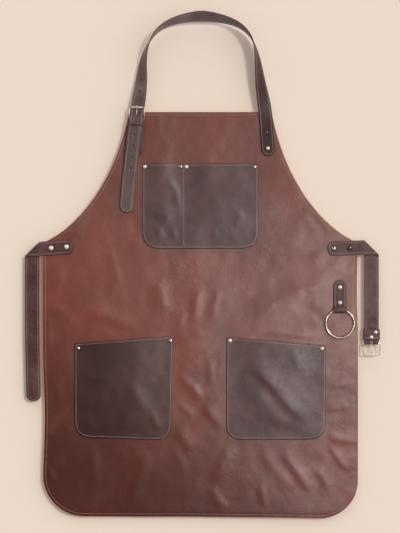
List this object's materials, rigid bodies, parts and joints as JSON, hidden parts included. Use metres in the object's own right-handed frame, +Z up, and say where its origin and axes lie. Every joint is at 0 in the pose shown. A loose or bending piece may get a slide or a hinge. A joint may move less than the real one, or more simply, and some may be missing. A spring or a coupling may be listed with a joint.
{
  "type": "butcher apron",
  "caption": "Full-length leather bib apron with a buckled neck strap, folded waist straps with a buckle, riveted patch pockets and a towel ring.",
  "frame": {"origin": "on the back face of the body panel, in the middle of the apron at the height of the waist straps", "axes": "+Z up towards the neck strap, +Y backwards towards the wearer, -Y is the front; left is -X and right is +X as seen from the front"},
  "size_m": [0.6764, 0.0296, 0.9641],
  "materials": {
    "body_leather": "smooth semi-gloss oiled leather",
    "pocket_leather": "satin leather",
    "strap_leather": "satin bridle leather with raw reddish edges",
    "brass": "antique brass",
    "rivet_metal": "polished pale brass"
  },
  "bodies": {
    "apron": {"body_panel": "body_leather", "bib_pocket": "pocket_leather", "left_pocket": "pocket_leather", "right_pocket": "pocket_leather", "neck_strap_anchor": "strap_leather", "neck_strap_tail": "strap_leather", "neck_chape": "strap_leather", "neck_keeper": "strap_leather", "left_waist_tab": "strap_leather", "right_waist_tab": "strap_leather", "ring_tab": "strap_leather", "bib_pocket_rivet_1": "rivet_metal", "bib_pocket_rivet_2": "rivet_metal", "bib_pocket_rivet_3": "rivet_metal", "bib_pocket_rivet_4": "rivet_metal", "left_pocket_rivet_1": "rivet_metal", "left_pocket_rivet_2": "rivet_metal", "right_pocket_rivet_1": "rivet_metal", "right_pocket_rivet_2": "rivet_metal", "neck_anchor_rivet_1": "rivet_metal", "neck_anchor_rivet_2": "rivet_metal", "neck_chape_rivet_1": "rivet_metal", "neck_chape_rivet_2": "rivet_metal", "left_waist_tab_rivet_1": "rivet_metal", "left_waist_tab_rivet_2": "rivet_metal", "right_waist_tab_rivet_1": "rivet_metal", "right_waist_tab_rivet_2": "rivet_metal", "ring_tab_rivet_1": "rivet_metal", "ring_tab_rivet_2": "rivet_metal"},
    "neck_loop": {"neck_strap_loop": "strap_leather"},
    "neck_buckle": {"neck_buckle_frame": "brass"},
    "neck_prong": {"neck_buckle_prong": "brass"},
    "left_waist_strap": {"left_waist_tail": "strap_leather"},
    "right_waist_strap": {"right_waist_tail": "strap_leather", "waist_keeper": "strap_leather", "waist_end_rivet_1": "rivet_metal", "waist_end_rivet_2": "rivet_metal"},
    "waist_buckle": {"waist_buckle_frame": "brass"},
    "waist_prong": {"waist_buckle_prong": "brass"},
    "ring": {"towel_ring": "brass"}
  },
  "joints": [
    {"name": "neck_strap_tilt", "type": "hinge", "parent": "apron", "child": "neck_loop", "pos_m": [0, -0.0036, 0.27], "axis": [1, 0, 0], "range_deg": [-105, 105], "stiffness_Nm_per_rad": 0.35},
    {"name": "neck_buckle_rock", "type": "hinge", "parent": "apron", "child": "neck_buckle", "pos_m": [-0.1206, -0.0066, 0.2395], "axis": [1, 0, 0], "range_deg": [0, 2.5], "stiffness_Nm_per_rad": 0.05},
    {"name": "neck_prong_lift", "type": "hinge", "parent": "neck_buckle", "child": "neck_prong", "pos_m": [-0.1206, -0.0066, 0.2395], "axis": [1, 0, 0], "range_deg": [0, 2], "stiffness_Nm_per_rad": 0.02},
    {"name": "left_waist_fold", "type": "hinge", "parent": "apron", "child": "left_waist_strap", "pos_m": [-0.32, -0.00215, -0.008], "axis": [0.7071, 0, 0.7071], "range_deg": [0, 180], "stiffness_Nm_per_rad": 0.02},
    {"name": "right_waist_fold", "type": "hinge", "parent": "apron", "child": "right_waist_strap", "pos_m": [0.326, -0.00215, -0.005], "axis": [0.7071, 0, -0.7071], "range_deg": [0, 180], "stiffness_Nm_per_rad": 0.02},
    {"name": "waist_buckle_swing", "type": "hinge", "parent": "right_waist_strap", "child": "waist_buckle", "pos_m": [0.326, -0.0026, -0.1863], "axis": [1, 0, 0], "range_deg": [-110, 45]},
    {"name": "waist_prong_swing", "type": "hinge", "parent": "waist_buckle", "child": "waist_prong", "pos_m": [0.326, -0.0026, -0.1863], "axis": [1, 0, 0], "range_deg": [0, 60]},
    {"name": "ring_swing", "type": "hinge", "parent": "apron", "child": "ring", "pos_m": [0.266, -0.0077, -0.1241], "axis": [-1, 0, 0], "range_deg": [0, 150]}
  ]
}
